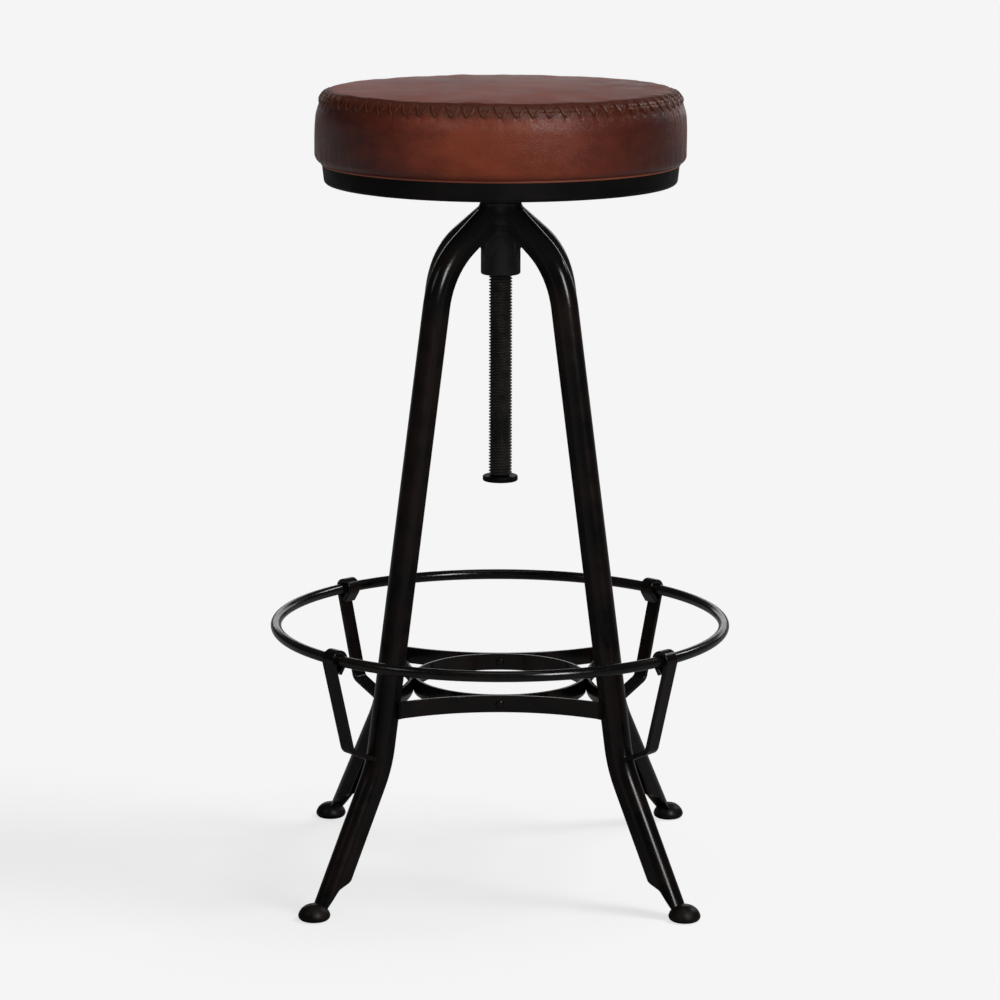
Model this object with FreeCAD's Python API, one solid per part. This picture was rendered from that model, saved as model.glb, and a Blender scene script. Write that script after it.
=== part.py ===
# Bar stool: four pressed channel legs welded to a threaded hub, a round foot rail held by four
# curled brackets, a riveted stretcher, and a padded round seat that climbs on a screw spindle.
# Lengths are in millimetres and angles in degrees. The floor is z = 0, +Z is up, the spindle
# stands on the Z axis and the front of the stool faces -Y. The seat is drawn at its lowest.
import FreeCAD, Part
import math
import os

os.makedirs("parts", exist_ok=True)

Vector = FreeCAD.Vector
origin = Vector(0, 0, 0)
up = Vector(0, 0, 1)

# Legs: a channel with a half-round back and two flat flanges that face the axis
leg_width = 22.0
leg_flange = 9.5
leg_wall = 2.5
leg_edge_round = 0.8
leg_top_height = 627.0
leg_top_lean = 55.0
leg_upper_bend_drop = 42.6
leg_upper_bend_radius = 83.0
leg_lean = 10.07
leg_lower_bend_height = 131.3
leg_lower_bend_radius = 110.0
leg_foot_lean = 28.4
leg_end_height = 14.0
leg_saddle_depth = 10.0
tongue_length = 10.0

# Hub: the threaded tube in the middle, which stands above the line of the legs
hub_radius = 18.5
hub_rise = 14.5
hub_length = 68.5
hub_bottom_round = 2.0
hub_top_chamfer = 1.0
bore_play = 0.1

# Cut that trims the flanges away above the foot, along the leg and across it
trim_start = 33.0
trim_shoulder = 22.5
trim_shoulder_depth = 8.0
trim_shoulder_radius = 12.0
trim_neck = 12.5
trim_neck_depth = 1.2
trim_neck_radius = 9.0
trim_end_depth = 7.5

# Feet: cast knobs on the ends of the legs
foot_reach = 16.5
foot_base_radius = 11.0
foot_radius = 14.8
foot_widest_height = 4.5
foot_height = 14.5

# Foot rail and its four brackets
rail_standoff = 71.5
rail_height = 240.0
rail_bar_radius = 5.0
bracket_width = 14.5
bracket_thickness = 4.5
bracket_edge_round = 1.0
bracket_play = 0.1
bracket_corner_inset = 15.5
bracket_corner_drop = 88.0
bracket_corner_radius = 8.0
bracket_foot_slope = 25.0
bracket_curl_end = 215.0
bracket_tail_gap = 0.8

# Stretcher: a ring and four bowed bars of the same flat bar on edge
stretcher_width = 16.0
stretcher_thickness = 3.0
stretcher_edge_round = 0.6
stretcher_height = 182.0
stretcher_ring_radius = 82.0
stretcher_end_straight = 10.0
stretcher_lap = 4.0
stretcher_end_bend_radius = 15.0
rivet_radius = 2.5
rivet_head_radius = 4.2
rivet_head_height = 2.0
rivet_flat_radius = 1.4
rivet_seat = 0.1

# Spindle, its stop washer and the screw that holds the washer
spindle_radius = 11.0
spindle_top_recess = 0.4
lift_travel = 190.0
stop_gap = 0.5
washer_radius = 16.5
washer_thickness = 5.0
washer_edge_round = 1.2
washer_play = 0.3
washer_end_play = 0.15
journal_radius = 6.0
end_screw_head_radius = 9.0
end_screw_head_height = 2.2
end_screw_recess = 0.3
end_screw_radius = 3.0
end_screw_length = 14.0
end_screw_socket_radius = 3.2
end_screw_socket_depth = 1.3

# Seat flange: the plate and boss that join the spindle to the pan
flange_gap = 0.5
flange_boss_radius = 16.0
flange_plate_radius = 55.0
flange_plate_thickness = 4.5
flange_weld_radius = 3.0
flange_screw_count = 4
flange_screw_circle = 42.0
flange_screw_radius = 2.2
flange_screw_play = 0.2
flange_screw_grip = 9.0
flange_screw_head_radius = 4.5
flange_screw_head_height = 2.6

# Seat pan and the board in it
pan_hub_gap = 16.9
pan_wall = 1.5
pan_foot_radius = 163.5
pan_rim_radius = 165.5
pan_depth = 18.1
pan_corner_radius = 4.0
board_thickness = 12.0
board_edge_play = 0.3
board_edge_round = 1.0

# Cushion: a leather side band and a leather top over a foam core
cushion_radius = 170.0
cushion_neck_radius = 160.5
cushion_turn_radius = 12.0
cushion_turn_rise = 11.1
cushion_side_rise = 12.4
seam_radius = 166.5
seam_rise = 39.0
crown_height = 11.0
shoulder_start_radius = 112.0
shoulder_start_drop = 1.4
leather_thickness = 2.0
foam_play = 0.2
fold_radius = 3.0
fold_inner_radius = 138.0
tack_count = 12
tack_circle = 148.0
tack_head_radius = 3.2
tack_head_height = 0.7
tack_recess = 0.1
tack_radius = 0.8
tack_length = 9.0

# Corners from the one between +X and +Y, and sides from the front, both anticlockwise from above
corner_names = ["back_right", "back_left", "front_left", "front_right"]
side_names = ["front", "right", "back", "left"]


def at(radius, height, across=0.0):
    """A point of the upright plane through the axis and +X."""
    return Vector(radius, across, height)


def unit(vector):
    """The same direction with a length of one."""
    return vector * (1.0 / vector.Length)


def rounded_path(points, radii):
    """Straight edges through points, with a tangent arc of the given radius at each inner one."""
    edges = []
    start = points[0]
    for index in range(1, len(points) - 1):
        corner = points[index]
        inward = unit(points[index - 1] - corner)
        onward = unit(points[index + 1] - corner)
        half_angle = math.acos(max(-1.0, min(1.0, inward.dot(onward)))) / 2.0
        setback = radii[index - 1] / math.tan(half_angle)
        entry = corner + inward * setback
        leave = corner + onward * setback
        bisector = unit(inward + onward)
        sagitta = radii[index - 1] / math.sin(half_angle) - radii[index - 1]
        if (entry - start).Length > 1e-6:
            edges.append(Part.LineSegment(start, entry).toShape())
        edges.append(Part.Arc(entry, corner + bisector * sagitta, leave).toShape())
        start = leave
    if (points[-1] - start).Length > 1e-6:
        edges.append(Part.LineSegment(start, points[-1]).toShape())
    return edges


def line(start, end):
    """One straight edge."""
    return Part.LineSegment(start, end).toShape()


def arc_about(centre, start, end):
    """The shorter arc from start to end about centre, in the upright plane."""
    radius = (start - centre).Length
    middle = centre + unit((start - centre) + (end - centre)) * radius
    return Part.Arc(start, middle, end).toShape()


def face_of(edges):
    """A flat face bounded by edges given in order."""
    return Part.Face(Part.Wire(edges))


def turned(edges):
    """A full turn of a closed outline about the Z axis."""
    return face_of(edges).revolve(origin, up, 360)


def swept(path, section):
    """A closed section carried along a path of tangent lines and arcs."""
    return Part.Wire(path).makePipeShell([Part.Wire(section)], True, False)


def polygon(points):
    """Closed straight edges through the points."""
    return [line(points[i], points[(i + 1) % len(points)]) for i in range(len(points))]


def bar_section(corners, radius):
    """The outline of a flat bar with rounded edges."""
    start = (corners[0] + corners[-1]) * 0.5
    return rounded_path([start] + corners + [start], [radius] * len(corners))


def around(shape, angle):
    """A copy turned about the Z axis."""
    copy = shape.copy()
    copy.rotate(origin, up, angle)
    return copy


def cylinder(radius, low, high, centre=origin):
    """An upright round bar between two heights."""
    return Part.makeCylinder(radius, high - low, Vector(centre.x, centre.y, low), up)


def circles_meet(centre_a, radius_a, centre_b, radius_b, near):
    """The crossing of two circles of the upright plane that lies closer to a point."""
    between = centre_b - centre_a
    distance = between.Length
    along = (radius_a ** 2 - radius_b ** 2 + distance ** 2) / (2.0 * distance)
    aside = math.sqrt(radius_a ** 2 - along ** 2)
    direction = unit(between)
    normal = Vector(-direction.z, 0, direction.x)
    crossings = [centre_a + direction * along + normal * (aside * sign) for sign in (-1, 1)]
    return min(crossings, key=lambda point: (point - near).Length)


def lines_meet(point_a, run_a, point_b, run_b):
    """The crossing of two lines of the upright plane, each a point and a direction."""
    between = point_b - point_a
    along = (between.x * run_b.z - between.z * run_b.x) / (run_a.x * run_b.z - run_a.z * run_b.x)
    return point_a + run_a * along


# Heights that follow from the values above
hub_top = leg_top_height + hub_rise
hub_bottom = hub_top - hub_length
pan_bottom = hub_top + pan_hub_gap
pan_rim_height = pan_bottom + pan_depth
cushion_turn_height = pan_rim_height + cushion_turn_rise
cushion_side_height = cushion_turn_height + cushion_side_rise
seam_height = cushion_side_height + seam_rise
spindle_shoulder = hub_bottom - stop_gap - lift_travel
washer_top = spindle_shoulder - washer_end_play
washer_bottom = washer_top - washer_thickness
end_screw_bottom = washer_bottom + end_screw_recess
journal_end = end_screw_bottom + end_screw_head_height
washer_recess_top = journal_end + washer_end_play
flange_bottom = hub_top + flange_gap
flange_plate_bottom = pan_bottom - flange_plate_thickness
pan_floor = pan_bottom + pan_wall
board_bottom = pan_floor + leather_thickness
board_top = board_bottom + board_thickness
board_radius = cushion_neck_radius - leather_thickness - board_edge_play

# The line through the middle of the leg's half-round back, from the hub to the foot
foot_run = unit(at(math.sin(math.radians(leg_foot_lean)), -math.cos(math.radians(leg_foot_lean))))
middle_run = at(math.sin(math.radians(leg_lean)), -math.cos(math.radians(leg_lean)))
top_run = at(math.sin(math.radians(leg_top_lean)), -math.cos(math.radians(leg_top_lean)))
leg_at_hub = at(hub_radius, leg_top_height)


def lowered(point, run, height):
    """Where a line through a point reaches a height."""
    return lines_meet(point, run, at(0, height), at(1, 0))


leg_upper_bend = lowered(leg_at_hub, top_run, leg_top_height - leg_upper_bend_drop)
leg_lower_bend = lowered(leg_upper_bend, middle_run, leg_lower_bend_height)
leg_end = lowered(leg_lower_bend, foot_run, leg_end_height)
foot_centre = leg_end.x + foot_reach
rail_radius = lowered(leg_upper_bend, middle_run, rail_height).x + rail_standoff

# Half the angle between two legs
half_step = math.pi / len(corner_names)


def leg_path():
    """The leg's line, run on into the hub and into the foot."""
    points = [leg_at_hub - top_run * leg_saddle_depth, leg_upper_bend, leg_lower_bend,
              leg_end + foot_run * tongue_length]
    return rounded_path(points, [leg_upper_bend_radius, leg_lower_bend_radius])


def leg_section(half_width, flange):
    """The outline of a half-round back with straight flanks, square to the top of the leg."""
    start = leg_at_hub - top_run * leg_saddle_depth
    outward = Vector(-top_run.z, 0, top_run.x)
    aside = Vector(0, 1, 0)
    tips = [start + aside * (half_width * side) - outward * flange for side in (-1, 1)]
    sides = [start + aside * (half_width * side) for side in (-1, 1)]
    back = Part.Arc(sides[0], start + outward * half_width, sides[1]).toShape()
    return tips, sides, back


def leg_envelope():
    """The leg as if its channel were filled."""
    tips, sides, back = leg_section(leg_width / 2.0, leg_flange)
    outline = [line(tips[0], sides[0]), back, line(sides[1], tips[1]), line(tips[1], tips[0])]
    return swept(leg_path(), outline)


def leg_trim():
    """The cutter that leaves only the back of the channel above the foot."""
    outward = Vector(-foot_run.z, 0, foot_run.x)

    def along(distance, depth):
        return leg_end - foot_run * distance + outward * depth

    corners = [along(trim_start, -leg_width / 2.0 - trim_neck_depth),
               along(trim_shoulder, -trim_shoulder_depth),
               along(trim_neck, trim_neck_depth),
               along(-tongue_length * 2.0, trim_end_depth + trim_neck_depth)]
    edges = rounded_path(corners, [trim_shoulder_radius, trim_neck_radius])
    low = along(-tongue_length * 2.0, -leg_width)
    edges += [line(corners[-1], low), line(low, corners[0])]
    cutter = face_of(edges).extrude(Vector(0, leg_width * 2.0, 0))
    cutter.translate(Vector(0, -leg_width, 0))
    return cutter


def leg():
    """One pressed channel leg, saddled on the hub and trimmed for its foot."""
    tips, sides, back = leg_section(leg_width / 2.0, leg_flange)
    inner_tips, inner_sides, inner_back = leg_section(leg_width / 2.0 - leg_wall, leg_flange)
    rounds = [leg_edge_round, leg_edge_round]
    outline = rounded_path([inner_sides[0], inner_tips[0], tips[0], sides[0]], rounds)
    outline.append(back)
    outline += rounded_path([sides[1], tips[1], inner_tips[1], inner_sides[1]], rounds)
    outline.append(inner_back)
    channel = swept(leg_path(), outline)
    channel = channel.cut(cylinder(hub_radius, 0, hub_top * 2.0))
    return channel.cut(leg_trim())


def foot(leg_shape):
    """One cast knob, with a slot that takes the tongue of its leg."""
    rim = at(foot_radius, foot_widest_height)
    base = at(foot_base_radius, 0)
    flare = foot_radius - foot_base_radius
    low_radius = (flare ** 2 + foot_widest_height ** 2) / (2.0 * flare)
    low_centre = at(foot_radius - low_radius, foot_widest_height)
    half_way = math.sqrt(0.5)
    dome_rise = foot_height - foot_widest_height
    shoulder = at(foot_radius * half_way, foot_widest_height + dome_rise * half_way)
    outline = [line(at(0, 0), base),
               arc_about(low_centre, base, rim),
               Part.Arc(rim, shoulder, at(0, foot_height)).toShape(),
               line(at(0, foot_height), at(0, 0))]
    knob = turned(outline)
    knob.translate(Vector(foot_centre, 0, 0))
    return knob.cut(leg_shape)


def bracket(envelope):
    """One flat bar that stands off the leg and curls round the foot rail."""
    half = bracket_thickness / 2.0
    centre = at(rail_radius, rail_height)
    curl = rail_bar_radius + bracket_play + half
    corner = at(rail_radius - bracket_corner_inset, rail_height - bracket_corner_drop)
    reach = centre - corner
    lean = math.atan2(reach.x, reach.z) + math.asin(curl / reach.Length)
    touch = corner + at(math.sin(lean), math.cos(lean)) * math.sqrt(reach.Length ** 2 - curl ** 2)
    slope = math.radians(bracket_foot_slope)
    inward = at(-math.cos(slope), -math.sin(slope))
    root = max((lines_meet(corner, inward, leg_lower_bend, leg_run)
                for leg_run in (middle_run, foot_run)), key=lambda point: point.x)

    def on_curl(angle):
        return centre + at(math.cos(angle), math.sin(angle)) * curl

    first = -lean
    last = math.radians(bracket_curl_end)
    half_way = (first + last) / 2.0
    tail_start = on_curl(last)
    tail_run = at(-math.sin(last), math.cos(last))
    tail_edge = tail_start + unit(centre - tail_start) * half
    arm_normal = at(math.cos(lean), -math.sin(lean))
    spare = arm_normal.dot(corner - tail_edge) - half - bracket_tail_gap
    tail_end = tail_start + tail_run * (spare / arm_normal.dot(tail_run))
    path = rounded_path([root, corner, touch], [bracket_corner_radius])
    path.append(Part.Arc(touch, on_curl((first + half_way) / 2.0), on_curl(half_way)).toShape())
    path.append(Part.Arc(on_curl(half_way), on_curl((half_way + last) / 2.0),
                         tail_start).toShape())
    path.append(line(tail_start, tail_end))
    run = unit(corner - root)
    across = Vector(-run.z, 0, run.x) * half
    aside = Vector(0, bracket_width / 2.0, 0)
    section = bar_section([root - across - aside, root - across + aside,
                           root + across + aside, root + across - aside], bracket_edge_round)
    return swept(path, section).cut(envelope)


def foot_rail():
    """The round bar that the feet rest on, bent to a closed ring."""
    return Part.makeTorus(rail_radius, rail_bar_radius, Vector(0, 0, rail_height), up)


def stretcher_rivet():
    """The rivet through the front bar and the ring, its heads seated a little into each."""
    outer = stretcher_ring_radius + stretcher_thickness - rivet_seat
    inner = stretcher_ring_radius - stretcher_thickness + rivet_seat
    slant = math.sqrt(0.5)

    def place(radius, distance):
        return Vector(0, -distance, stretcher_height + radius)

    def head(face, direction):
        """The rounded side of one head, from its flat top to its rim."""
        spread = rivet_head_radius - rivet_flat_radius
        return Part.Arc(
            place(rivet_flat_radius, face + direction * rivet_head_height),
            place(rivet_flat_radius + spread * slant,
                  face + direction * rivet_head_height * slant),
            place(rivet_head_radius, face)).toShape()

    tops = [outer + rivet_head_height, inner - rivet_head_height]
    edges = [line(place(0, tops[0]), place(rivet_flat_radius, tops[0])),
             head(outer, 1),
             line(place(rivet_head_radius, outer), place(rivet_radius, outer)),
             line(place(rivet_radius, outer), place(rivet_radius, inner)),
             line(place(rivet_radius, inner), place(rivet_head_radius, inner)),
             head(inner, -1),
             line(place(rivet_flat_radius, tops[1]), place(0, tops[1])),
             line(place(0, tops[1]), place(0, tops[0]))]
    return face_of(edges).revolve(Vector(0, 0, stretcher_height), Vector(0, 1, 0), 360)


def stretcher_bar(rivet):
    """The front bar: bowed towards the ring, its ends flat against the sides of two legs."""
    half = stretcher_thickness / 2.0
    middle = stretcher_ring_radius + half
    low = stretcher_height - stretcher_width / 2.0
    side = leg_width / 2.0 + half
    leg_line = lowered(leg_upper_bend, middle_run, stretcher_height).x
    tip = leg_line - leg_flange / math.cos(math.radians(leg_lean))

    def beside_leg(distance, hand):
        across = distance * math.sin(half_step) - side * math.cos(half_step)
        forward = distance * math.cos(half_step) + side * math.sin(half_step)
        return Vector(hand * across, -forward, low)

    bend = beside_leg(tip - half, 1)
    sag = -middle - bend.y
    straight = stretcher_end_straight
    bow_radius = (bend.x ** 2 + sag ** 2 - straight ** 2) / (2.0 * sag)
    slope = math.asin(bend.x / math.hypot(bow_radius, straight)) \
        - math.atan2(straight, bow_radius)
    peak = Vector(0, bow_radius / math.cos(slope) - bow_radius - middle, low)
    points = [beside_leg(tip + stretcher_lap, -1), beside_leg(tip - half, -1), peak, bend,
              beside_leg(tip + stretcher_lap, 1)]
    path = rounded_path(points, [stretcher_end_bend_radius, bow_radius,
                                 stretcher_end_bend_radius])
    run = unit(points[1] - points[0])
    across = Vector(-run.y, run.x, 0) * half
    rise = Vector(0, 0, stretcher_width)
    start = points[0]
    section = bar_section([start - across, start + across, start + across + rise,
                           start - across + rise], stretcher_edge_round)
    return swept(path, section).cut(rivet)


def stretcher_ring(rivets):
    """The flat ring that ties the four bars together."""
    low = stretcher_height - stretcher_width / 2.0
    high = low + stretcher_width
    inside = stretcher_ring_radius - stretcher_thickness
    section = bar_section([at(inside, low), at(stretcher_ring_radius, low),
                           at(stretcher_ring_radius, high), at(inside, high)],
                          stretcher_edge_round)
    return turned(section).cut(rivets)


def hub():
    """The threaded tube, drawn with a plain bore."""
    bore = spindle_radius + bore_play
    outline = polygon([at(bore, hub_bottom), at(hub_radius, hub_bottom),
                       at(hub_radius, hub_top - hub_top_chamfer),
                       at(hub_radius - hub_top_chamfer, hub_top), at(bore, hub_top)])
    tube = turned(outline)
    rim = [edge for edge in tube.Edges
           if abs(edge.BoundBox.ZMax - hub_bottom) < 1e-6
           and abs(edge.BoundBox.XMax - hub_radius) < 1e-6]
    return tube.makeFillet(hub_bottom_round, rim)


def spindle():
    """The screw spindle, drawn plain, with a journal for the stop washer at its foot."""
    top = pan_bottom - spindle_top_recess
    outline = polygon([at(end_screw_radius, journal_end), at(journal_radius, journal_end),
                       at(journal_radius, spindle_shoulder), at(spindle_radius, spindle_shoulder),
                       at(spindle_radius, top), at(0, top),
                       at(0, journal_end + end_screw_length),
                       at(end_screw_radius, journal_end + end_screw_length)])
    return turned(outline)


def stop_washer():
    """The loose washer that meets the hub when the seat is at its highest."""
    bore = journal_radius + washer_play
    recess = end_screw_head_radius + washer_play
    outline = polygon([at(recess, washer_bottom), at(washer_radius, washer_bottom),
                       at(washer_radius, washer_top), at(bore, washer_top),
                       at(bore, washer_recess_top), at(recess, washer_recess_top)])
    disc = turned(outline)
    rims = [edge for edge in disc.Edges
            if abs(edge.BoundBox.XMax - washer_radius) < 1e-6 and edge.BoundBox.ZLength < 1e-6]
    return disc.makeFillet(washer_edge_round, rims)


def end_screw():
    """The socket screw in the spindle's foot that keeps the stop washer on."""
    head = cylinder(end_screw_head_radius, end_screw_bottom, journal_end)
    shank = cylinder(end_screw_radius, journal_end, journal_end + end_screw_length)
    socket = Part.makePolygon([
        Vector(end_screw_socket_radius * math.cos(math.radians(60 * step)),
               end_screw_socket_radius * math.sin(math.radians(60 * step)),
               end_screw_bottom) for step in range(7)])
    socket = Part.Face(socket).extrude(Vector(0, 0, end_screw_socket_depth))
    return head.fuse(shank).removeSplitter().cut(socket)


def on_circle(radius, count, step):
    """A point at one of count even steps round the axis, the first half a step on."""
    angle = 2.0 * math.pi * (step + 0.5) / count
    return Vector(radius * math.cos(angle), radius * math.sin(angle), 0)


def at_flange_screws(radius, low, high):
    """Round bars at the places of the flange screws."""
    places = [on_circle(flange_screw_circle, flange_screw_count, step)
              for step in range(flange_screw_count)]
    return [cylinder(radius, low, high, place) for place in places]


def seat_flange():
    """The boss that is fixed on the spindle and the plate that carries the pan."""
    boss_side = [at(spindle_radius, flange_bottom), at(flange_boss_radius, flange_bottom),
                 at(flange_boss_radius, flange_plate_bottom),
                 at(flange_plate_radius, flange_plate_bottom)]
    edges = [line(boss_side[0], boss_side[1])]
    edges += rounded_path(boss_side[1:], [flange_weld_radius])
    edges += [line(boss_side[3], at(flange_plate_radius, pan_bottom)),
              line(at(flange_plate_radius, pan_bottom), at(spindle_radius, pan_bottom)),
              line(at(spindle_radius, pan_bottom), boss_side[0])]
    hole = flange_screw_radius + flange_screw_play
    return turned(edges).cut(at_flange_screws(hole, flange_plate_bottom, pan_bottom))


def flange_screws():
    """The screws that go up through the flange and the pan into the board."""
    shanks = at_flange_screws(flange_screw_radius, flange_plate_bottom,
                              board_bottom + flange_screw_grip)
    heads = at_flange_screws(flange_screw_head_radius,
                             flange_plate_bottom - flange_screw_head_height, flange_plate_bottom)
    return Part.makeCompound([head.fuse(shank).removeSplitter()
                              for head, shank in zip(heads, shanks)])


def seat_pan():
    """The pressed steel dish under the cushion."""
    outside = [at(0, pan_bottom), at(pan_foot_radius, pan_bottom),
               at(pan_rim_radius, pan_rim_height)]
    inside = [at(pan_rim_radius - pan_wall, pan_rim_height),
              at(pan_foot_radius - pan_wall, pan_floor), at(0, pan_floor)]
    edges = rounded_path(outside, [pan_corner_radius])
    edges.append(line(outside[2], inside[0]))
    edges += rounded_path(inside, [pan_corner_radius - pan_wall])
    edges.append(line(inside[2], outside[0]))
    hole = flange_screw_radius + flange_screw_play
    return turned(edges).cut(at_flange_screws(hole, pan_bottom, pan_floor))


def cover_tacks():
    """The tacks that hold the turned-under leather to the underside of the board."""
    low = pan_floor + tack_recess
    tacks = []
    for step in range(tack_count):
        place = on_circle(tack_circle, tack_count, step)
        head = cylinder(tack_head_radius, low, low + tack_head_height, place)
        shank = cylinder(tack_radius, low + tack_head_height, low + tack_length, place)
        tacks.append(head.fuse(shank).removeSplitter())
    return Part.makeCompound(tacks)


def tack_holes():
    """The room that the tacks take in the leather and the board."""
    holes = []
    for step in range(tack_count):
        place = on_circle(tack_circle, tack_count, step)
        holes.append(cylinder(tack_head_radius, pan_floor,
                              pan_floor + tack_recess + tack_head_height, place))
        holes.append(cylinder(tack_radius, pan_floor, pan_floor + tack_recess + tack_length,
                              place))
    return holes


def seat_board():
    """The plywood disc inside the pan."""
    outline = [at(0, board_bottom), at(board_radius, board_bottom), at(board_radius, board_top),
               at(0, board_top)]
    edges = rounded_path(outline[:3], [board_edge_round])
    edges += [line(outline[2], outline[3]), line(outline[3], outline[0])]
    screws = at_flange_screws(flange_screw_radius, board_bottom,
                              board_bottom + flange_screw_grip)
    return turned(edges).cut(screws + tack_holes())


class CushionCurves:
    """The arcs of the cushion's outside, moved inwards by a depth."""

    def __init__(self, depth):
        self.depth = depth
        top = seam_height + crown_height
        crown_radius = (shoulder_start_radius ** 2 + shoulder_start_drop ** 2) \
            / (2.0 * shoulder_start_drop)
        self.crown_centre = at(0, top - crown_radius)
        crown_edge = at(shoulder_start_radius, top - shoulder_start_drop)
        normal = unit(crown_edge - self.crown_centre)
        seam = at(seam_radius, seam_height)
        gap = seam - crown_edge
        shoulder_radius = -gap.dot(gap) / (2.0 * gap.dot(normal))
        self.shoulder_centre = crown_edge - normal * shoulder_radius
        rise = seam_height - cushion_side_height
        half_turn = math.atan((cushion_radius - seam_radius) / rise)
        side_radius = rise / math.sin(2.0 * half_turn)
        self.side_centre = at(cushion_radius - side_radius, cushion_side_height)
        self.turn_centre = at(cushion_radius - cushion_turn_radius, cushion_turn_height)
        self.top = at(0, top - depth)
        self.crown_edge = crown_edge - normal * depth
        self.seam = circles_meet(self.shoulder_centre, shoulder_radius - depth,
                                 self.side_centre, side_radius - depth, seam)
        self.side_top = at(cushion_radius - depth, cushion_side_height)
        self.side_low = at(cushion_radius - depth, cushion_turn_height)

    def upper(self):
        """From the middle of the top to the seam."""
        return [arc_about(self.crown_centre, self.top, self.crown_edge),
                arc_about(self.shoulder_centre, self.crown_edge, self.seam)]

    def side(self, neck):
        """From the seam down to the crease at the neck, at the given radius."""
        turn = cushion_turn_radius - self.depth
        aside = neck - self.turn_centre.x
        crease = at(neck, self.turn_centre.z - math.sqrt(turn ** 2 - aside ** 2))
        edges = [arc_about(self.side_centre, self.seam, self.side_top),
                 line(self.side_top, self.side_low),
                 arc_about(self.turn_centre, self.side_low, crease)]
        return edges, crease


leather_outside = CushionCurves(0.0)
leather_inside = CushionCurves(leather_thickness)
foam_outside = CushionCurves(leather_thickness + foam_play)


def reversed_edges(edges):
    """The same edges in the opposite order, for the way back of an outline."""
    return list(reversed(edges))


def cover_top():
    """The crowned leather disc on top of the cushion."""
    edges = leather_outside.upper()
    edges.append(line(leather_outside.seam, leather_inside.seam))
    edges += reversed_edges(leather_inside.upper())
    edges.append(line(leather_inside.top, leather_outside.top))
    return turned(edges)


def cover_side():
    """The leather band round the cushion, drawn in at the pan and turned under the board."""
    outer_edges, outer_crease = leather_outside.side(cushion_neck_radius)
    inner_neck = cushion_neck_radius - leather_thickness
    inner_edges, inner_crease = leather_inside.side(inner_neck)
    outer_fold = rounded_path([outer_crease, at(cushion_neck_radius, pan_floor),
                               at(fold_inner_radius, pan_floor)], [fold_radius])
    inner_fold = rounded_path([inner_crease, at(inner_neck, board_bottom),
                               at(fold_inner_radius, board_bottom)],
                              [fold_radius - leather_thickness])
    edges = outer_edges + outer_fold
    edges.append(line(at(fold_inner_radius, pan_floor), at(fold_inner_radius, board_bottom)))
    edges += reversed_edges(inner_fold) + reversed_edges(inner_edges)
    edges.append(line(leather_inside.seam, leather_outside.seam))
    return turned(edges).cut(tack_holes())


def cushion_foam():
    """The foam core on the board."""
    edges, crease = foam_outside.side(board_radius)
    outline = foam_outside.upper() + edges
    outline += [line(crease, at(board_radius, board_top)),
                line(at(board_radius, board_top), at(0, board_top)),
                line(at(0, board_top), foam_outside.top)]
    return turned(outline)


pieces = {}

leg_shape = leg()
envelope = leg_envelope()
foot_shape = foot(leg_shape)
bracket_shape = bracket(envelope)
turn_step = 360.0 / len(corner_names)
for index, name in enumerate(corner_names):
    angle = (index + 0.5) * turn_step
    pieces["leg_" + name] = around(leg_shape, angle)
    pieces["foot_" + name] = around(foot_shape, angle)
    pieces["rail_bracket_" + name] = around(bracket_shape, angle)

rivet = stretcher_rivet()
rivets = [around(rivet, index * turn_step) for index in range(len(side_names))]
bar = stretcher_bar(rivet)
for index, name in enumerate(side_names):
    pieces["stretcher_bar_" + name] = around(bar, index * turn_step)
pieces["stretcher_ring"] = stretcher_ring(rivets)
pieces["stretcher_rivets"] = Part.makeCompound(rivets)
pieces["foot_rail"] = foot_rail()
pieces["hub"] = hub()

pieces["stop_washer"] = stop_washer()
pieces["spindle"] = spindle()
pieces["end_screw"] = end_screw()
pieces["seat_flange"] = seat_flange()
pieces["flange_screws"] = flange_screws()
pieces["seat_pan"] = seat_pan()
pieces["seat_board"] = seat_board()
pieces["cover_tacks"] = cover_tacks()
pieces["cushion_foam"] = cushion_foam()
pieces["cover_side"] = cover_side()
pieces["cover_top"] = cover_top()

for name, shape in pieces.items():
    shape.exportStep("parts/" + name + ".step")
    print(name, "solids", len(shape.Solids), "valid", shape.isValid(),
          "volume", round(shape.Volume, 1))
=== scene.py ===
import bmesh
import bpy
import math
import numpy
from mathutils import Matrix, Vector, noise
from mathutils.bvhtree import BVHTree


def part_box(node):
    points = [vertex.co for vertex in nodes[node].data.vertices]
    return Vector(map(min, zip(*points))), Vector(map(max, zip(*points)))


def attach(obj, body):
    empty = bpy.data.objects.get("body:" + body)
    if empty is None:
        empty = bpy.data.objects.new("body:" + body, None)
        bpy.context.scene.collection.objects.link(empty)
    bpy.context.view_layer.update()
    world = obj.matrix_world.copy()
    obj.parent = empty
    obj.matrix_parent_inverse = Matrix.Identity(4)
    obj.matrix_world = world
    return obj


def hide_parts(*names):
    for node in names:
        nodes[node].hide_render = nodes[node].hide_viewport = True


# Bar stool: channel legs on a threaded hub, screw spindle, laced leather seat.
# Metres, Z up, the front of the stool faces -Y.
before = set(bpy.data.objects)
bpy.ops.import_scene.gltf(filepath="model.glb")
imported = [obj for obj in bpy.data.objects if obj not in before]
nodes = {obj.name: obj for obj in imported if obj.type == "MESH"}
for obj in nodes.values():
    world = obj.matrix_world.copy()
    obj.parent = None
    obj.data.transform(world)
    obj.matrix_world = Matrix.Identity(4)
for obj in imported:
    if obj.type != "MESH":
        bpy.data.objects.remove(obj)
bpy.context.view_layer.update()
scene = bpy.context.scene
mm = 0.001
fullTurn = 2.0 * math.pi

cornerNames = ["back_right", "back_left", "front_left", "front_right"]
sideNames = ["front", "right", "back", "left"]


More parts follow.
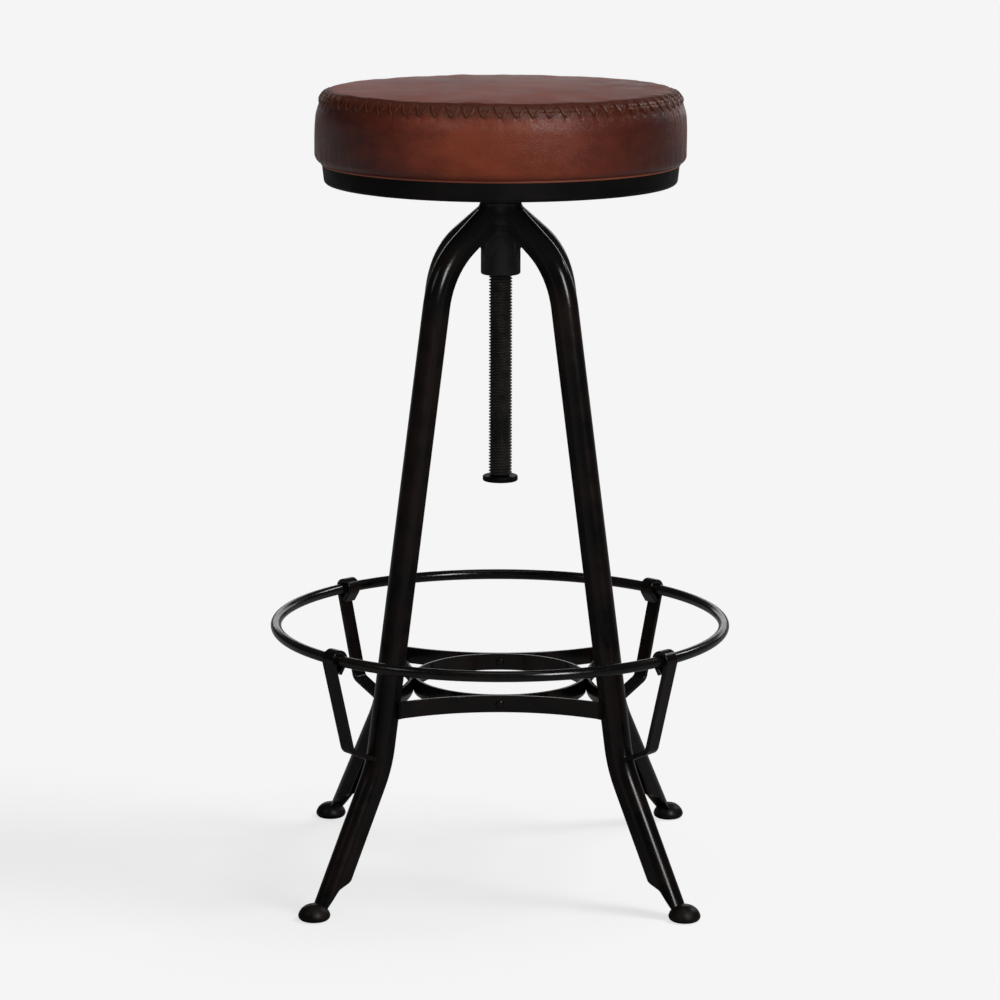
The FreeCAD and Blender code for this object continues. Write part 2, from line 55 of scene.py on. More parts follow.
# Camera, fitted to the ellipses of the seat, pan, foot rail and feet
cameraLook = {
    "place": (0.0, -3.42346, 1.04306),
    "pitch": 11.3107,            # degrees below level
    "roll": -0.115,
    "lens": 133.433,             # millimetres, like the sensor's width
    "sensor": 36.0,
    "shift": -0.00165,
}


def addCamera(look):
    camera = bpy.data.objects.new("camera", bpy.data.cameras.new("camera"))
    camera.data.lens = look["lens"]
    camera.data.sensor_width = look["sensor"]
    camera.data.shift_x = look["shift"]
    camera.location = look["place"]
    camera.rotation_euler = (math.radians(90.0 - look["pitch"]), math.radians(look["roll"]), 0.0)
    scene.collection.objects.link(camera)
    scene.camera = camera


addCamera(cameraLook)
print("camera placed")


class Wire:                      # a socket of a material, with arithmetic
    def __init__(self, tree, socket=None):
        self.tree = tree
        self.socket = socket

    def node(self, kind, settings=None, inputs=None, output=0):
        made = self.tree.nodes.new(kind)
        for name, value in (settings or {}).items():
            if name == "stops":
                setStops(made.color_ramp, value)
            else:
                setattr(made, name, value)
        for name, value in (inputs or {}).items():
            if isinstance(value, Wire):
                self.tree.links.new(value.socket, made.inputs[name])
            else:
                made.inputs[name].default_value = value
        if output is None:       # all the outputs, by name
            return {socket.name: Wire(self.tree, socket) for socket in made.outputs}
        return Wire(self.tree, made.outputs[output]) if made.outputs else None

    def math(self, operation, first, second=0.0):
        return self.node("ShaderNodeMath", {"operation": operation}, {0: first, 1: second})

    def __add__(self, other):
        return self.math("ADD", self, other)

    def __sub__(self, other):
        return self.math("SUBTRACT", self, other)

    def __mul__(self, other):
        return self.math("MULTIPLY", self, other)

    def __pow__(self, other):
        return self.math("POWER", self, other)


def setStops(ramp, stops):       # stops are (place, colour) from left to right
    while len(ramp.elements) > len(stops):
        ramp.elements.remove(ramp.elements[-1])
    while len(ramp.elements) < len(stops):
        ramp.elements.new(1.0)
    for element, (place, colour) in zip(ramp.elements, stops):
        element.position = place
        element.color = colour


def startMaterial(name):
    material = bpy.data.materials.new(name)
    material.use_nodes = True
    material.node_tree.nodes.clear()
    return material, Wire(material.node_tree)


def spread(wire, low, high, fromLow=0.0, fromHigh=1.0):      # maps a value, smooth at both ends
    return wire.node("ShaderNodeMapRange", {"interpolation_type": "SMOOTHSTEP"},
                     {"Value": wire, "From Min": fromLow, "From Max": fromHigh,
                      "To Min": low, "To Max": high})


def mixed(mask, first, second):
    return mask.node("ShaderNodeMix", {"data_type": "RGBA"}, {0: mask, 6: first, 7: second}, 2)


def objectPlace(paint):
    return paint.node("ShaderNodeTexCoord", output="Object")


def noiseOf(place, scale, detail=3.0, roughness=0.5):
    return place.node("ShaderNodeTexNoise", None, {"Vector": place, "Scale": scale,
                                                   "Detail": detail, "Roughness": roughness})


def colour(red, green, blue):
    return (red, green, blue, 1.0)


# Metals: the same nodes for every part, with its own numbers
metalSkin = {
    "smudges": 4.0,              # times as fine as the patches
    "edgeFrom": (0.80, 0.995),   # how alike the true and the softened direction are, at an edge
    "depth": 0.3 * mm,           # of the bumps
}
metalLooks = {
    "frame_metal": {"dark": colour(0.0022, 0.0019, 0.0019), "warm": colour(0.0068, 0.0038, 0.0029),
                    # the next colour is painted light: paler metal round the hub and the legs'
                    # tops, which the pan shades
                    "upper": colour(0.009, 0.0088, 0.0088), "upperFrom": (0.575, 0.625),
                    "worn": colour(0.050, 0.032, 0.022), "gloss": 0.32, "metallic": 0.0,
                    "roughLow": 0.18, "roughHigh": 0.25, "patch": 22.0, "grain": 900.0,
                    "bump": 0.008, "edge": 0.9 * mm, "wear": 0.30},
    "hub_metal": {"dark": colour(0.0072, 0.0069, 0.0069), "warm": colour(0.0088, 0.0078, 0.0074),
                  "worn": colour(0.035, 0.028, 0.022), "gloss": 0.22, "metallic": 0.0,
                  "roughLow": 0.38, "roughHigh": 0.46, "patch": 22.0, "grain": 900.0,
                  "bump": 0.02, "edge": 0.9 * mm, "wear": 0.2},
    "rail_metal": {"dark": colour(0.0030, 0.0028, 0.0028), "warm": colour(0.0065, 0.0045, 0.0038),
                   "worn": colour(0.06, 0.045, 0.035), "gloss": 0.45, "metallic": 0.0,
                   "roughLow": 0.15, "roughHigh": 0.22, "patch": 30.0, "grain": 900.0,
                   "bump": 0.008, "edge": 0.5 * mm, "wear": 0.2},
    "foot_iron": {"dark": colour(0.0034, 0.0030, 0.0029), "warm": colour(0.010, 0.0066, 0.0052),
                  "worn": colour(0.05, 0.036, 0.028), "gloss": 0.24, "metallic": 0.1,
                  "roughLow": 0.34, "roughHigh": 0.52, "patch": 60.0, "grain": 420.0,
                  "bump": 0.30, "edge": 0.8 * mm, "wear": 0.3},
    "pan_metal": {"dark": colour(0.0018, 0.0018, 0.0018), "warm": colour(0.0034, 0.0029, 0.0027),
                  "worn": colour(0.025, 0.022, 0.020), "gloss": 0.09, "metallic": 0.0,
                  "roughLow": 0.42, "roughHigh": 0.54, "patch": 18.0, "grain": 1300.0,
                  "bump": 0.05, "edge": 0.4 * mm, "wear": 0.15},
    "spindle_steel": {"dark": colour(0.014, 0.0133, 0.0126), "warm": colour(0.028, 0.0245, 0.021),
                      "worn": colour(0.12, 0.11, 0.10), "gloss": 0.5, "metallic": 0.5,
                      "roughLow": 0.30, "roughHigh": 0.48, "patch": 40.0, "grain": 1600.0,
                      "bump": 0.05, "edge": 0.25 * mm, "wear": 0.6},
    "screw_steel": {"dark": colour(0.012, 0.011, 0.011), "warm": colour(0.024, 0.021, 0.019),
                    "worn": colour(0.12, 0.11, 0.10), "gloss": 0.5, "metallic": 0.6,
                    "roughLow": 0.30, "roughHigh": 0.42, "patch": 80.0, "grain": 1600.0,
                    "bump": 0.04, "edge": 0.25 * mm, "wear": 0.4},
}


def metalMaterial(name, look):
    material, paint = startMaterial(name)
    place = objectPlace(paint)
    patches = noiseOf(place, look["patch"], 4.0, 0.55)
    fine = noiseOf(place, look["grain"], 2.0)
    smudges = noiseOf(place, look["patch"] * metalSkin["smudges"], 3.0, 0.6)
    flat = paint.node("ShaderNodeNewGeometry", output="Normal")
    softened = paint.node("ShaderNodeBevel", {"samples": 4}, {"Radius": look["edge"]})
    facing = paint.node("ShaderNodeVectorMath", {"operation": "DOT_PRODUCT"},
                        {0: flat, 1: softened}, "Value")
    edge = (spread(facing, 1.0, 0.0, *metalSkin["edgeFrom"])
            * spread(smudges, 0.2, 1.0, 0.35, 0.6))
    body = mixed(spread(patches, 0.0, 1.0, 0.38, 0.66), look["dark"], look["warm"])
    if "upper" in look:          # painted light: paler metal round the hub, where the pan shades it
        height = paint.node("ShaderNodeSeparateXYZ", None, {"Vector": place}, "Z")
        body = mixed(spread(height, 0.0, 1.0, *look["upperFrom"]), body, look["upper"])
    base = mixed(edge * look["wear"], body, look["worn"])
    rough = spread(patches * 0.5 + smudges * 0.5, look["roughLow"], look["roughHigh"], 0.35, 0.65)
    bump = paint.node("ShaderNodeBump", None,
                      {"Strength": look["bump"], "Distance": metalSkin["depth"],
                       "Height": fine * 0.85 + smudges * 0.15})
    shader = paint.node("ShaderNodeBsdfPrincipled", None,
                        {"Base Color": base, "Metallic": look["metallic"], "Roughness": rough,
                         "Normal": bump, "IOR": 1.45, "Specular IOR Level": look["gloss"]})
    paint.node("ShaderNodeOutputMaterial", None, {"Surface": shader})
    return material


# Leather: burnished cowhide, darker towards the seam, its side painted pale and dark in turn as
# light and shade
leatherSkin = {
    "mottle": 6.0,               # times as fine as the clouds
    "pores": 2.2,                # times as fine as the grain
    "creases": 0.16,
    "sway": 3.0,                 # of the painted pale and dark sides, in radians
    "darkenedBlur": 0.012,         # metres
    "darkenedShare": 0.85,
    "depth": 0.35 * mm,          # of the bumps
}
leatherLooks = {
    "leather_side": {"deep": colour(0.045, 0.0085, 0.0065), "mid": colour(0.17, 0.030, 0.014),
                     "bright": colour(0.34, 0.064, 0.026), "darkened": colour(0.098, 0.021, 0.008),
                     "darkenedFrom": (0.729, 0.737), "along": "Z", "cloud": 7.0, "stretch": 1.8,
                     # the side is painted pale and dark in turn round the seat, as light and shade
                     "paintedLightLobes": 3.0, "paintedLightShare": 0.6, "gloss": 0.42,
                     "roughLow": 0.27, "roughHigh": 0.37, "grain": 620.0, "bump": 0.55},
    "leather_top": {"deep": colour(0.20, 0.036, 0.020), "mid": colour(0.30, 0.055, 0.030),
                    "bright": colour(0.39, 0.075, 0.040), "darkened": colour(0.082, 0.017, 0.006),
                    "darkenedFrom": (0.153, 0.159), "along": "radius", "cloud": 6.0, "stretch": 1.0,
                    "gloss": 0.5, "roughLow": 0.38, "roughHigh": 0.48, "grain": 620.0,
                    "bump": 0.40},
    "leather_lace": {"deep": colour(0.15, 0.032, 0.010), "mid": colour(0.25, 0.060, 0.016),
                     "bright": colour(0.42, 0.12, 0.034), "darkened": colour(0.11, 0.025, 0.009),
                     "darkenedFrom": (0.150, 0.165), "along": "radius", "cloud": 60.0,
                     "stretch": 1.0, "gloss": 0.4, "roughLow": 0.26, "roughHigh": 0.36,
                     "grain": 900.0, "bump": 0.2},
    # pale leather, made paler still as painted light where the cushion's bulge shades the edge
    "leather_edge": {"deep": colour(0.37, 0.10, 0.055), "mid": colour(0.54, 0.16, 0.09),
                     "bright": colour(0.66, 0.23, 0.13), "darkened": colour(0.30, 0.075, 0.04),
                     "darkenedFrom": (0.1, 0.3), "along": "Z", "cloud": 30.0,
                     "stretch": 1.0, "gloss": 0.5, "roughLow": 0.36, "roughHigh": 0.5,
                     "grain": 900.0, "bump": 0.3},
}
frontTurn = -0.5 * math.pi       # direction of the front, anticlockwise from +X, where the side's painted light is palest


def leatherMaterial(name, look):
    material, paint = startMaterial(name)
    place = objectPlace(paint)
    drawn = paint.node("ShaderNodeMapping", None, {"Vector": place,
                                                   "Scale": (1.0, 1.0, look["stretch"])})
    clouds = noiseOf(drawn, look["cloud"], 5.0, 0.55)
    mottle = noiseOf(drawn, look["cloud"] * leatherSkin["mottle"], 4.0, 0.6)
    parts = paint.node("ShaderNodeSeparateXYZ", None, {"Vector": place}, None)
    tone = spread(clouds * 0.7 + mottle * 0.3, 0.0, 1.0, 0.34, 0.66)
    if "paintedLightLobes" in look:          # painted light and shade: pale and dark in turn going round the seat, palest at the front
        turn = paint.math("ARCTAN2", parts["Y"], parts["X"])
        sway = (clouds - 0.5) * leatherSkin["sway"]
        paintedLight = paint.math("COSINE", (turn - frontTurn) * look["paintedLightLobes"] + sway)
        tone = tone * (1.0 - look["paintedLightShare"]) + (paintedLight * 0.5 + 0.5) * look["paintedLightShare"]
    body = paint.node("ShaderNodeValToRGB",
                      {"stops": [(0.0, look["deep"]), (0.5, look["mid"]), (1.0, look["bright"])]},
                      {"Fac": tone})
    radius = (parts["X"] * parts["X"] + parts["Y"] * parts["Y"]) ** 0.5
    reach = parts["Z"] if look["along"] == "Z" else radius
    # a darker colour towards the seam, its border blurred by the mottle
    darkened = spread(reach + (mottle - 0.5) * leatherSkin["darkenedBlur"],
                    0.0, leatherSkin["darkenedShare"], *look["darkenedFrom"])
    base = mixed(darkened, body, look["darkened"])
    cells = paint.node("ShaderNodeTexVoronoi", {"feature": "DISTANCE_TO_EDGE"},
                       {"Vector": place, "Scale": look["grain"]})
    pores = noiseOf(place, look["grain"] * leatherSkin["pores"], 3.0, 0.6)
    creases = noiseOf(place, look["grain"] * leatherSkin["creases"], 4.0, 0.65)
    pebbles = spread(cells, 0.0, 1.0, 0.0, 0.22)
    height = pebbles * 0.45 + pores * 0.25 + creases * 0.6
    rough = spread(mottle * 0.6 + pores * 0.4, look["roughLow"], look["roughHigh"], 0.36, 0.64)
    bump = paint.node("ShaderNodeBump", None,
                      {"Strength": look["bump"], "Distance": leatherSkin["depth"],
                       "Height": height})
    shader = paint.node("ShaderNodeBsdfPrincipled", None,
                        {"Base Color": base, "Roughness": rough, "Normal": bump, "IOR": 1.45,
                         "Specular IOR Level": look["gloss"]})
    paint.node("ShaderNodeOutputMaterial", None, {"Surface": shader})
    return material


plywoodLook = {"light": colour(0.52, 0.36, 0.20), "dark": colour(0.36, 0.22, 0.11), "ply": 1.4 * mm}


def plywoodMaterial(look):
    material, paint = startMaterial("plywood")
    place = objectPlace(paint)
    along = paint.node("ShaderNodeMapping", None, {"Vector": place, "Scale": (6.0, 90.0, 90.0)})
    grain = noiseOf(along, 4.0, 5.0, 0.6)
    height = paint.node("ShaderNodeSeparateXYZ", None, {"Vector": place}, "Z")
    layer = paint.math("PINGPONG", height, look["ply"])
    band = spread(layer, 0.0, 1.0, look["ply"] * 0.3, look["ply"] * 0.7)
    base = mixed(spread(grain * 0.6 + band * 0.4, 0.0, 1.0, 0.2, 0.8), look["dark"], look["light"])
    bump = paint.node("ShaderNodeBump", None, {"Strength": 0.2, "Distance": 0.2 * mm,
                                               "Height": grain})
    shader = paint.node("ShaderNodeBsdfPrincipled", None, {"Base Color": base, "Roughness": 0.6,
                                                           "Normal": bump})
    paint.node("ShaderNodeOutputMaterial", None, {"Surface": shader})
    return material


metals = {name: metalMaterial(name, look) for name, look in metalLooks.items()}
leathers = {name: leatherMaterial(name, look) for name, look in leatherLooks.items()}
plywood = plywoodMaterial(plywoodLook)


def dress(names, material):
    for name in names:
        mesh = nodes[name].data
        mesh.materials.clear()
        mesh.materials.append(material)


dress(["stretcher_ring", "stretcher_rivets"] + ["leg_" + c for c in cornerNames]
      + ["rail_bracket_" + c for c in cornerNames] + ["stretcher_bar_" + s for s in sideNames],
      metals["frame_metal"])
dress(["foot_rail"], metals["rail_metal"])
dress(["foot_" + c for c in cornerNames], metals["foot_iron"])
dress(["seat_pan", "seat_flange", "stop_washer"], metals["pan_metal"])
dress(["hub"], metals["hub_metal"])
dress(["end_screw", "flange_screws", "cover_tacks"], metals["screw_steel"])
dress(["seat_board"], plywood)
print("materials made")


def finishPiece(bm, name, materials, mergeDistance=0.01 * mm):
    bmesh.ops.remove_doubles(bm, verts=bm.verts[:], dist=mergeDistance)
    bmesh.ops.recalc_face_normals(bm, faces=bm.faces[:])
    mesh = bpy.data.meshes.new(name)
    bm.to_mesh(mesh)
    bm.free()
    for polygon in mesh.polygons:
        polygon.use_smooth = True
    for material in materials:
        mesh.materials.append(material)
    piece = bpy.data.objects.new(name, mesh)
    scene.collection.objects.link(piece)
    return piece


def applyModifiers(piece):
    evaluated = piece.evaluated_get(bpy.context.evaluated_depsgraph_get())
    mesh = bpy.data.meshes.new_from_object(evaluated)
    piece.modifiers.clear()
    old = piece.data
    piece.data = mesh
    bpy.data.meshes.remove(old)


meetDistance = 0.02 * mm         # of points that merge where copies of a mesh meet


def doubled(bm, times, turn=0.0, rise=0.0):      # copies the mesh, each time twice as far
    for step in range(times):
        copy = bmesh.ops.duplicate(bm, geom=bm.verts[:] + bm.edges[:] + bm.faces[:])["geom"]
        verts = [item for item in copy if isinstance(item, bmesh.types.BMVert)]
        bmesh.ops.rotate(bm, verts=verts, cent=(0, 0, 0),
                         matrix=Matrix.Rotation(turn * 2 ** step, 3, "Z"))
        bmesh.ops.translate(bm, verts=verts, vec=(0, 0, rise * 2 ** step))


def bell(distance, width):
    return math.exp(-(distance / width) ** 2)


def eased(share):                # from 0 to 1, smooth at both ends
    share = min(1.0, max(0.0, share))
    return share * share * (3.0 - 2.0 * share)


def surfaceOf(meshes):           # finds where a ray hits it, or its nearest point
    bm = bmesh.new()
    for mesh in meshes:
        bm.from_mesh(mesh)
    tree = BVHTree.FromBMesh(bm)
    bm.free()
    return tree


def wireOf(bm, outline):         # outline is a list of (radius, height)
    verts = [bm.verts.new((radius, 0.0, height)) for radius, height in outline]
    edges = [bm.edges.new(pair) for pair in zip(verts, verts[1:])]
    return verts + edges


# Spindle: a real screw thread from the stop washer's shoulder to the seat flange
spindleLook = {
    "pitch": 25.4 / 9.0 * mm,    # nine threads to the inch
    "root": 9.25 * mm,
    "crest": 10.95 * mm,
    "crestFlat": 0.14,           # share of the pitch
    "rootFlat": 0.12,
    "steps": 48,
    "tipGap": 0.15 * mm,         # over the stop washer
    "tipDepth": 0.6 * mm,        # of the tip's rim under the thread's root
    "endChamfer": 1.4 * mm,
    "plainTop": 15.0 * mm,
    "plainDepth": 0.1 * mm,      # of the plain top under the thread's root
    "sharpFrom": 35.0,           # degrees between two faces
}


def buildSpindle(look):
    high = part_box("spindle")[1]
    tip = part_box("stop_washer")[1].z + look["tipGap"]
    threadLow = tip + look["endChamfer"]
    threadHigh = high.z - look["plainTop"]
    pitch = look["pitch"]
    slope = (1.0 - look["crestFlat"] - look["rootFlat"]) / 2.0
    tooth = [(look["root"], 0.0), (look["root"], look["rootFlat"] * pitch),
             (look["crest"], (look["rootFlat"] + slope) * pitch),
             (look["crest"], (1.0 - slope) * pitch), (look["root"], pitch)]
    turns = math.ceil((threadHigh - threadLow) / pitch) + 2
    bm = bmesh.new()
    start = threadLow - pitch
    geometry = wireOf(bm, [(radius, start + rise) for radius, rise in tooth])
    bmesh.ops.spin(bm, geom=geometry, cent=(0, 0, 0), axis=(0, 0, 1), angle=fullTurn,
                   steps=look["steps"], dvec=(0, 0, pitch / look["steps"]), use_merge=False)
    doubled(bm, math.ceil(math.log2(turns)), rise=pitch)
    bmesh.ops.remove_doubles(bm, verts=bm.verts[:], dist=meetDistance)
    for height, way in ((threadLow, -1), (threadHigh, 1)):
        cut = bmesh.ops.bisect_plane(bm, geom=bm.verts[:] + bm.edges[:] + bm.faces[:],
                                     plane_co=(0, 0, height), plane_no=(0, 0, way),
                                     clear_outer=True)
        rim = [item for item in cut["geom_cut"] if isinstance(item, bmesh.types.BMEdge)]
        plain = look["root"] - look["plainDepth"]
        ends = [(plain, height), (plain, high.z)]
        if way < 0:
            ends = [(look["root"] - look["tipDepth"], tip)]
        for radius, level in ends:
            grown = bmesh.ops.extrude_edge_only(bm, edges=rim)["geom"]
            for vert in [item for item in grown if isinstance(item, bmesh.types.BMVert)]:
                across = Vector((vert.co.x, vert.co.y, 0.0)).normalized() * radius
                vert.co = (across.x, across.y, level)
            rim = [item for item in grown if isinstance(item, bmesh.types.BMEdge)
                   and len(item.link_faces) == 1]
        bmesh.ops.edgeloop_fill(bm, edges=rim)
    piece = finishPiece(bm, "threaded_spindle", [metals["spindle_steel"]])
    piece.data.set_sharp_from_angle(angle=math.radians(look["sharpFrom"]))
    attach(piece, "seat")
    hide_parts("spindle")


buildSpindle(spindleLook)
print("spindle threaded")


# Hub webs: the dressed welds that fill the hollows between the hub and each two legs
webLook = {
    "low": 585 * mm,
    "underTop": 0.4 * mm,        # from the hub's top edge down
    "step": 1.0 * mm,
    "across": 34,                # half of the measured width, in steps
    "half": 17,                  # half of the width of the web, in steps
    "fadeFrom": 12.0,            # to the sides, in steps from the middle
    "fadeTo": 16.5,
    "fadeRows": 8.0,             # at the lower end
    "outside": -0.5,             # depth where there is no metal
    "rayStart": -0.3,            # in front of the metal
    "ball": 13.0 * mm,           # rolled over the metal from outside, it leaves the welds' form
    "sunk": 0.35 * mm,           # under the metal where nothing is filled
    "thickness": 1.5 * mm,       # straight down: the second layer lies lower, not behind
}


def ballOver(heights, look, way):            # grown by a ball where way is 1, shrunk where it is -1
    reach = int(look["ball"] / look["step"])
    wide = numpy.pad(heights * way, reach, constant_values=-1.0)
    grown = numpy.full_like(heights, -1.0)
    for i in range(-reach, reach + 1):
        for j in range(-reach, reach + 1):
            level = look["ball"] ** 2 - (i * i + j * j) * look["step"] ** 2
            if level > 0.0:
                part = wide[reach + i:reach + i + len(heights),
                            reach + j:reach + j + len(heights[0])]
                grown = numpy.maximum(grown, part + math.sqrt(level))
    return grown * way


def buildWebs(look):
    tree = surfaceOf([nodes[name].data for name in ("hub", "leg_front_left", "leg_front_right")])
    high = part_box("hub")[1].z - look["underTop"]
    rows = math.floor((high - look["low"]) / look["step"])
    start = high - rows * look["step"]
    across = range(-look["across"], look["across"] + 1)
    metal = numpy.full((len(across), rows + 1), look["outside"])     # its reach to the front
    for column, place in enumerate(across):
        for row in range(rows + 1):
            ahead = Vector((place * look["step"], look["rayStart"], start + row * look["step"]))
            hit = tree.ray_cast(ahead, Vector((0.0, 1.0, 0.0)))[0]
            if hit:
                metal[column, row] = -hit.y
    filled = ballOver(ballOver(metal, look, 1), look, -1)
    bm = bmesh.new()
    bmesh.ops.create_grid(bm, x_segments=2 * look["half"], y_segments=rows, size=1.0)
    for vert in bm.verts:
        place = round(vert.co.x * look["half"])
        row = round((vert.co.y + 1.0) / 2.0 * rows)
        column = place + look["across"]
        fade = (look["fadeTo"] - abs(place)) / (look["fadeTo"] - look["fadeFrom"])
        fade = eased(min(fade, row / look["fadeRows"]))
        gain = (filled[column, row] - metal[column, row]) * fade
        vert.co = (place * look["step"], look["sunk"] - metal[column, row] - gain,
                   start + row * look["step"])
    bmesh.ops.solidify(bm, geom=bm.faces[:], thickness=look["thickness"])
    bmesh.ops.recalc_face_normals(bm, faces=bm.faces[:])
    doubled(bm, 2, turn=0.5 * math.pi)
    piece = finishPiece(bm, "hub_webs", [metals["hub_metal"]])
    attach(piece, "frame")


buildWebs(webLook)
print("hub webs filled")


# Cushion: a crowned leather cover, laced over its upper edge and tucked into the pan
cushionLook = {
    "crownSink": 0.3 * mm,
    "crownRadius": 155 * mm,     # where the flat crown ends
    "crownDrop": 4.6 * mm,
    "edgeRound": 4.0 * mm,       # of the laced edge
    "sideTop": 700 * mm,         # below this height the side is upright
    "turnRadius": 8 * mm,
    "turnHeight": 684.9 * mm,
    "neckGap": 2.3 * mm,         # leather and play outside the board
    "foldRound": 3.0 * mm,
    "foldReach": 22.0 * mm,
    "leather": 2.0 * mm,
    "swell": 2.4 * mm,           # of the stuffed side beyond its CAD form
    "swellReach": 20.0 * mm,     # below the seam
    "reliefReach": 8.0 * mm,     # from the pan's rim to where the worked surface has its depth
    "plainBelow": 0.5 * mm,      # over the board's top, the side stays plain from there down
    "crownSpacing": 5.0 * mm,    # of the outline's points
    "edgeSpacing": 0.9 * mm,
    "sideSpacing": 1.5 * mm,
    "foldSpacing": 1.0 * mm,
    "wedgeSteps": 45,            # of a sixteenth of the round
    "doublings": 4,
    "laces": 72,
    "laceReach": 7.6 * mm,       # from the seam to each row of holes
    "seamRadius": 166.0 * mm,    # turns a length along the seam into an angle
}
samePoint = 0.2 * mm             # points of an outline that are nearer count as one


def arcPoints(centre, radius, start, end, spacing):          # angles in degrees from outward to up
    count = max(2, math.ceil(abs(math.radians(end - start)) * radius / spacing))
    angles = [math.radians(start + (end - start) * i / count) for i in range(count + 1)]
    return [(centre[0] + radius * math.cos(a), centre[1] + radius * math.sin(a)) for a in angles]


def bearing(centre, point):      # the direction of a point from a centre, in degrees
    return math.degrees(math.atan2(point[1] - centre[1], point[0] - centre[0]))


def circlesMeet(centreA, radiusA, centreB, radiusB):         # the upper crossing
    between = Vector(centreB) - Vector(centreA)
    distance = between.length
    along = (radiusA ** 2 - radiusB ** 2 + distance ** 2) / (2.0 * distance)
    aside = math.sqrt(radiusA ** 2 - along ** 2)
    way = between / distance
    return max((Vector(centreA) + way * along + Vector((-way.y, way.x)) * aside * sign
                for sign in (-1, 1)), key=lambda point: point.y)


class CushionOutline:            # the outside of the cover, from the middle of the top to the pan
    def __init__(self, look, inset=0.0):
        topHigh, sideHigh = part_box("cover_top")[1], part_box("cover_side")[1]
        boardLow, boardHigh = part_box("seat_board")
        top = topHigh.z - look["crownSink"]
        edge = (look["crownRadius"], top - look["crownDrop"])
        crownRound = (edge[0] ** 2 + look["crownDrop"] ** 2) / (2.0 * look["crownDrop"])
        crown = (0.0, top - crownRound)
        normal = (Vector(edge) - Vector(crown)) / crownRound
        gap = Vector((topHigh.x, sideHigh.z)) - Vector(edge)
        shoulderRound = -gap.dot(gap) / (2.0 * gap.dot(normal))
        shoulder = tuple(Vector(edge) - normal * shoulderRound)
        rise = sideHigh.z - look["sideTop"]
        halfTurn = math.atan((sideHigh.x - topHigh.x) / rise)
        sideRound = rise / math.sin(2.0 * halfTurn)
        side = (sideHigh.x - sideRound, look["sideTop"])
        lip = look["edgeRound"]
        centre = tuple(circlesMeet(shoulder, shoulderRound - lip, side, sideRound - lip))
        turn = (sideHigh.x - look["turnRadius"], look["turnHeight"])
        neck = boardHigh.x + look["neckGap"]
        neckTurn = -math.degrees(math.acos((neck - inset - turn[0]) / (look["turnRadius"] - inset)))
        lipTop, lipLow = bearing(shoulder, centre), bearing(side, centre)
        upper = arcPoints(crown, crownRound - inset, 90.0, bearing(crown, edge),
                          look["crownSpacing"])
        upper += arcPoints(shoulder, shoulderRound - inset, bearing(shoulder, edge), lipTop,
                           look["edgeSpacing"])
        lipMiddle = 0.5 * (lipTop + lipLow)
        upper += arcPoints(centre, lip - inset, lipTop, lipMiddle, look["edgeSpacing"])
        lower = arcPoints(centre, lip - inset, lipMiddle, lipLow, look["edgeSpacing"])
        lower += arcPoints(side, sideRound - inset, lipLow, 0.0, look["sideSpacing"])
        lower += arcPoints(turn, look["turnRadius"] - inset, 0.0, neckTurn, look["sideSpacing"])
        self.upper = thinned(upper)
        self.lower = thinned(lower)
        self.boardLow, self.boardHigh = boardLow, boardHigh
        self.neck = neck - inset

    def across(self, reach):     # the point at a distance from the seam, down the side if positive
        points = self.lower if reach >= 0.0 else self.upper[::-1]
        left = abs(reach)
        for start, end in zip(points, points[1:]):
            step = math.dist(start, end)
            if left <= step:
                share = left / step
                return tuple(a + (b - a) * share for a, b in zip(start, end))
            left -= step
        return points[-1]


def thinned(points):             # drops the points that repeat where two arcs meet
    kept = [points[0]]
    for point in points[1:]:
        if math.dist(point, kept[-1]) > samePoint:
            kept.append(point)
    return kept


def startShell(look, outline):   # the closed leather shell, folded under the board
    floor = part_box("cover_side")[0].z
    inner = outline.neck - look["leather"]
    low, high = outline.boardLow.z, outline.boardHigh.z
    reach = outline.neck - look["foldReach"]
    fold = arcPoints((outline.neck - look["foldRound"], floor + look["foldRound"]),
                     look["foldRound"], 0.0, -90.0, look["foldSpacing"])
    under = [(reach, floor), (reach, low), (inner, low), (inner, high), (0.0, high)]
    bm = bmesh.new()
    distance = bm.verts.layers.float.new("distance")
    visible = thinned(outline.upper + outline.lower)
    geometry = wireOf(bm, visible + fold + under)
    seam = len(outline.upper) - 1
    verts = geometry[:len(visible + fold + under)]
    for index, vert in enumerate(verts):
        line = [v.co for v in verts[min(index, seam):max(index, seam) + 1]]
        span = sum((b - a).length for a, b in zip(line, line[1:]))
        vert[distance] = math.copysign(span, index - seam)
    wedge = fullTurn / 2 ** look["doublings"]
    bmesh.ops.spin(bm, geom=geometry, cent=(0, 0, 0), axis=(0, 0, 1), angle=wedge,
                   steps=look["wedgeSteps"], use_merge=False)
    doubled(bm, look["doublings"], turn=wedge)
    bmesh.ops.remove_doubles(bm, verts=bm.verts[:], dist=meetDistance)
    bmesh.ops.recalc_face_normals(bm, faces=bm.faces[:])
    bm.normal_update()
    return bm, distance


padLook = {
    "inset": 2.0 * mm,
    "every": 3,                  # every third point of the outline is used
    "merge": 0.05 * mm,
    "steps": 128,
    "voxel": 5.0 * mm,
    "lumps": 0.9 * mm,           # unevenness of the stuffing
    "lumpScale": 14.0,           # per metre
    "lumpOctaves": 3,
    "seamHold": 0.6,             # how firmly the seam holds, where the pan's rim has 1
    "pressure": 4.0,
    "quality": 5,
    "frames": 20,
    "cap": 3.5 * mm,             # on how far a point may move
}


